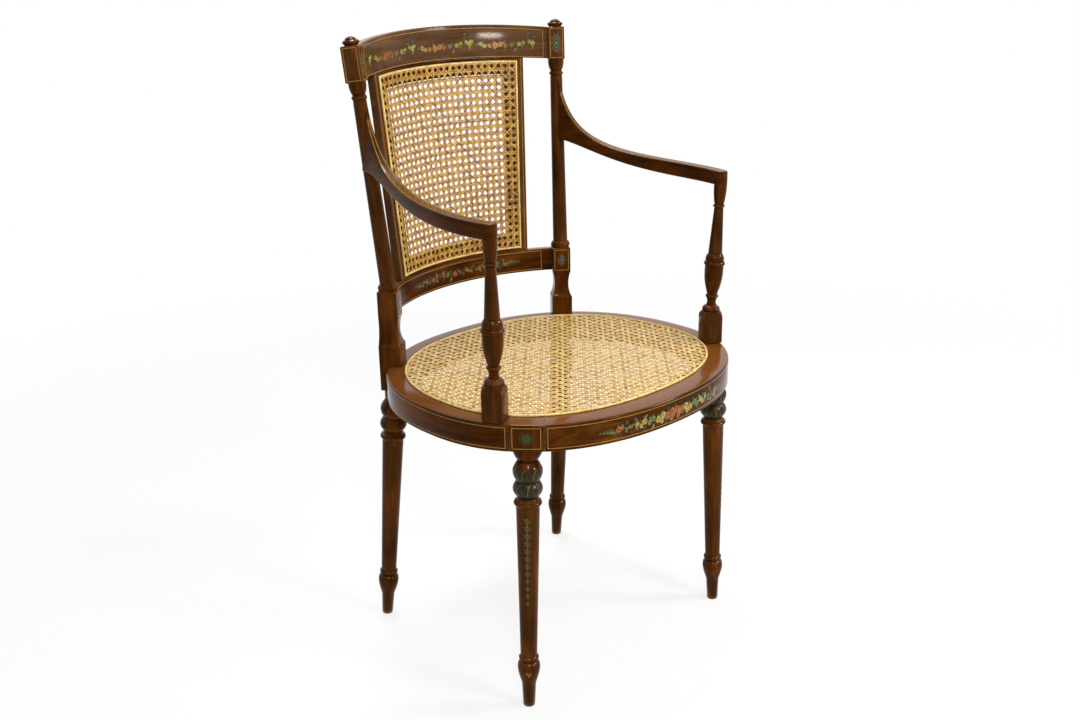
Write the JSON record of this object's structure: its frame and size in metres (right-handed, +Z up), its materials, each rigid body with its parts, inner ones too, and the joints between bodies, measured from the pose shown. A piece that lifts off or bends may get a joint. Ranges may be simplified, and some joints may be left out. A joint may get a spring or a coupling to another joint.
{
  "type": "painted armchair",
  "caption": "Elbow chair of turned and painted mahogany with an oval caned seat, a bowed caned back and arms that sweep up into the back posts.",
  "frame": {"origin": "on the floor, under the middle of the chair's box", "axes": "+Z up, -Y towards the front of the chair, +X to the right for someone who stands in front and looks at it"},
  "size_m": [0.5196, 0.4981, 0.907],
  "materials": {
    "mahogany": "dark polished mahogany with painted garlands, rosettes and thin gold lines",
    "cane": "satin straw-coloured woven cane",
    "beech_dowel": "plain",
    "steel": "plain"
  },
  "bodies": {
    "root": {"front_leg_left": "mahogany", "front_leg_right": "mahogany", "rear_post_left": "mahogany", "rear_post_right": "mahogany", "finial_left": "mahogany", "finial_right": "mahogany", "front_seat_rail": "mahogany", "left_seat_rail": "mahogany", "right_seat_rail": "mahogany", "rear_seat_rail": "mahogany", "crest_rail": "mahogany", "lower_back_rail": "mahogany", "panel_stile_left": "mahogany", "panel_stile_right": "mahogany", "panel_top_slip": "mahogany", "panel_bottom_slip": "mahogany", "arm_left": "mahogany", "arm_right": "mahogany", "arm_post_left": "mahogany", "arm_post_right": "mahogany", "back_cane": "cane", "back_cane_binding": "cane", "seat_cane": "cane", "seat_cane_binding": "cane", "seat_rail_dowel_1": "beech_dowel", "seat_rail_dowel_2": "beech_dowel", "seat_rail_dowel_3": "beech_dowel", "seat_rail_dowel_4": "beech_dowel", "seat_rail_dowel_5": "beech_dowel", "seat_rail_dowel_6": "beech_dowel", "seat_rail_dowel_7": "beech_dowel", "seat_rail_dowel_8": "beech_dowel", "post_screw_1": "steel", "post_screw_2": "steel", "post_screw_3": "steel", "post_screw_4": "steel", "arm_screw_left": "steel", "arm_screw_right": "steel"}
  },
  "joints": []
}
